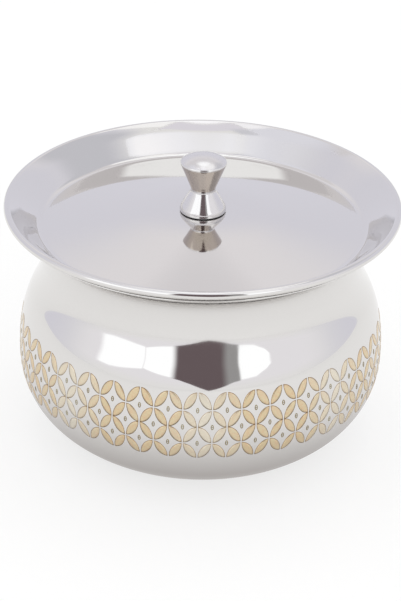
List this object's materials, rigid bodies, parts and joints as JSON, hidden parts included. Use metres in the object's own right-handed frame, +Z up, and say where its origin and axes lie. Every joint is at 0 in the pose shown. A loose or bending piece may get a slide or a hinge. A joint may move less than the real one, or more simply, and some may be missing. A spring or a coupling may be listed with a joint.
{
  "type": "cooking pot",
  "caption": "Stainless steel belly pot with a drawn-in neck, a flared mouth, a laser-etched band of overlapping circles and a lift-off dished lid with a turned knob.",
  "frame": {"origin": "centre of the pot's foot, on the surface that it stands on", "axes": "+Z up along the axis of turning of the pot and the lid"},
  "size_m": [0.2212, 0.2212, 0.1708],
  "materials": {
    "pot_steel": "mirror-polished stainless steel sheet",
    "lid_steel": "mirror-polished stainless steel sheet",
    "knob_steel": "turned and polished stainless steel, with a satin top",
    "gasket_rubber": "moulded black rubber",
    "fastener_steel": "plain stainless steel"
  },
  "bodies": {
    "pot": {"pot_shell": "pot_steel"},
    "knob_fastening": {"plain_washer": "fastener_steel", "spring_washer": "fastener_steel", "knob_screw": "fastener_steel"},
    "lid": {"lid_dish": "lid_steel", "knob_gasket": "gasket_rubber", "knob": "knob_steel"}
  },
  "joints": [
    {"name": "lid_lift", "type": "slide", "parent": "pot", "child": "knob_fastening", "axis": [0, 0, 1], "range_m": [0, 0.12]},
    {"name": "lid_turn", "type": "hinge", "parent": "knob_fastening", "child": "lid", "pos_m": [0, 0, 0.1367], "axis": [0, 0, 1], "continuous": true}
  ]
}
